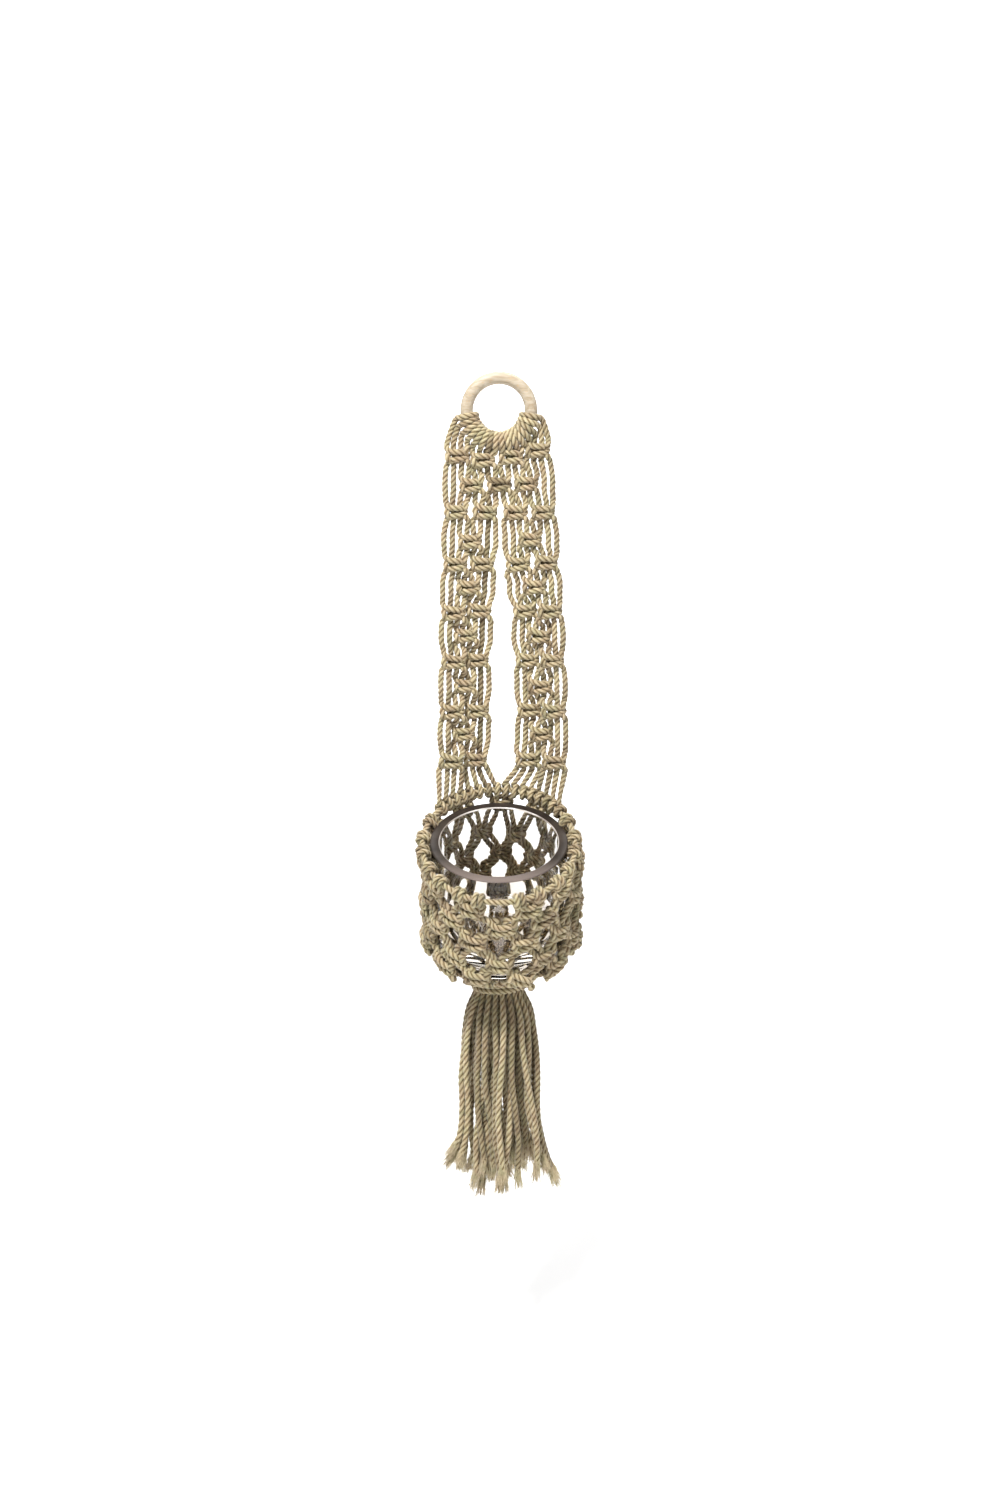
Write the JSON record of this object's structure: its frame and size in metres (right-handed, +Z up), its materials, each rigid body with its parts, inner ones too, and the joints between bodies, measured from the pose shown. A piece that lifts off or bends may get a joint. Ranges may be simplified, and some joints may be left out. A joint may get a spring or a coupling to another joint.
{
  "type": "hanging macrame planter",
  "caption": "Hanging planter: a wooden ring, knotted cord straps and a net of cord that holds a clear glass vase, tipped forward, over a long cord tassel",
  "frame": {"origin": "inside top of the wooden ring, where a hook bears", "axes": "+Z up along the hanging line, -Y is the front, where the mouth of the glass leans to, +X to the right seen from the front"},
  "size_m": [0.1188, 0.1379, 0.618],
  "materials": {
    "ring_wood": "pale turned wood, sanded and unvarnished",
    "natural_cord": "three-strand twisted natural cotton and hemp cord, slightly hairy",
    "clear_glass": "clear thick pressed glass, polished"
  },
  "bodies": {
    "ring": {"wooden_ring": "ring_wood", "ring_loop_1": "natural_cord", "ring_loop_2": "natural_cord", "ring_loop_3": "natural_cord", "ring_loop_4": "natural_cord", "ring_loop_5": "natural_cord", "ring_loop_6": "natural_cord", "ring_loop_7": "natural_cord", "ring_loop_8": "natural_cord"},
    "straps": {"strap_cord_1": "natural_cord", "strap_cord_2": "natural_cord", "strap_cord_3": "natural_cord", "strap_cord_4": "natural_cord", "strap_cord_5": "natural_cord", "strap_cord_6": "natural_cord", "strap_cord_7": "natural_cord", "strap_cord_8": "natural_cord"},
    "basket": {"rim_cord": "natural_cord", "net_cord_01": "natural_cord", "net_cord_02": "natural_cord", "net_cord_03": "natural_cord", "net_cord_04": "natural_cord", "net_cord_05": "natural_cord", "net_cord_06": "natural_cord", "net_cord_07": "natural_cord", "net_cord_08": "natural_cord", "net_cord_09": "natural_cord", "net_cord_10": "natural_cord", "net_cord_11": "natural_cord", "net_cord_12": "natural_cord", "net_cord_13": "natural_cord", "net_cord_14": "natural_cord", "net_cord_15": "natural_cord", "net_cord_16": "natural_cord", "net_cord_17": "natural_cord", "net_cord_18": "natural_cord", "net_cord_19": "natural_cord", "net_cord_20": "natural_cord", "net_cord_21": "natural_cord", "net_cord_22": "natural_cord", "base_cord_01": "natural_cord", "base_cord_02": "natural_cord", "base_cord_03": "natural_cord", "base_cord_04": "natural_cord", "base_cord_05": "natural_cord", "base_cord_06": "natural_cord", "base_cord_07": "natural_cord", "base_cord_08": "natural_cord", "base_cord_09": "natural_cord", "base_cord_10": "natural_cord", "base_cord_11": "natural_cord"},
    "glass": {"glass_vase": "clear_glass"},
    "gather": {"gather_cord": "natural_cord"},
    "tassel": {"tassel_lock_core": "natural_cord", "tassel_lock_1": "natural_cord", "tassel_lock_2": "natural_cord", "tassel_lock_3": "natural_cord", "tassel_lock_4": "natural_cord", "tassel_lock_5": "natural_cord", "tassel_lock_6": "natural_cord"}
  },
  "joints": [
    {"name": "ring_tilt", "type": "hinge", "parent": "ring", "child": "straps", "pos_m": [0, 0, -0.0415], "axis": [1, 0, 0], "range_deg": [-40, 40]},
    {"name": "basket_tilt", "type": "hinge", "parent": "straps", "child": "basket", "pos_m": [0, 0, -0.311], "axis": [1, 0, 0], "range_deg": [-10, 10]},
    {"name": "glass_lift", "type": "slide", "parent": "basket", "child": "glass", "axis": [0, -0.4147, 0.91], "range_m": [0, 0.11]},
    {"name": "tassel_swing", "type": "hinge", "parent": "basket", "child": "gather", "pos_m": [0, 0.018, -0.441], "axis": [1, 0, 0], "range_deg": [-18, 18]},
    {"name": "tassel_sway", "type": "hinge", "parent": "gather", "child": "tassel", "pos_m": [0, 0.018, -0.441], "axis": [0, 1, 0], "range_deg": [-18, 18]}
  ]
}
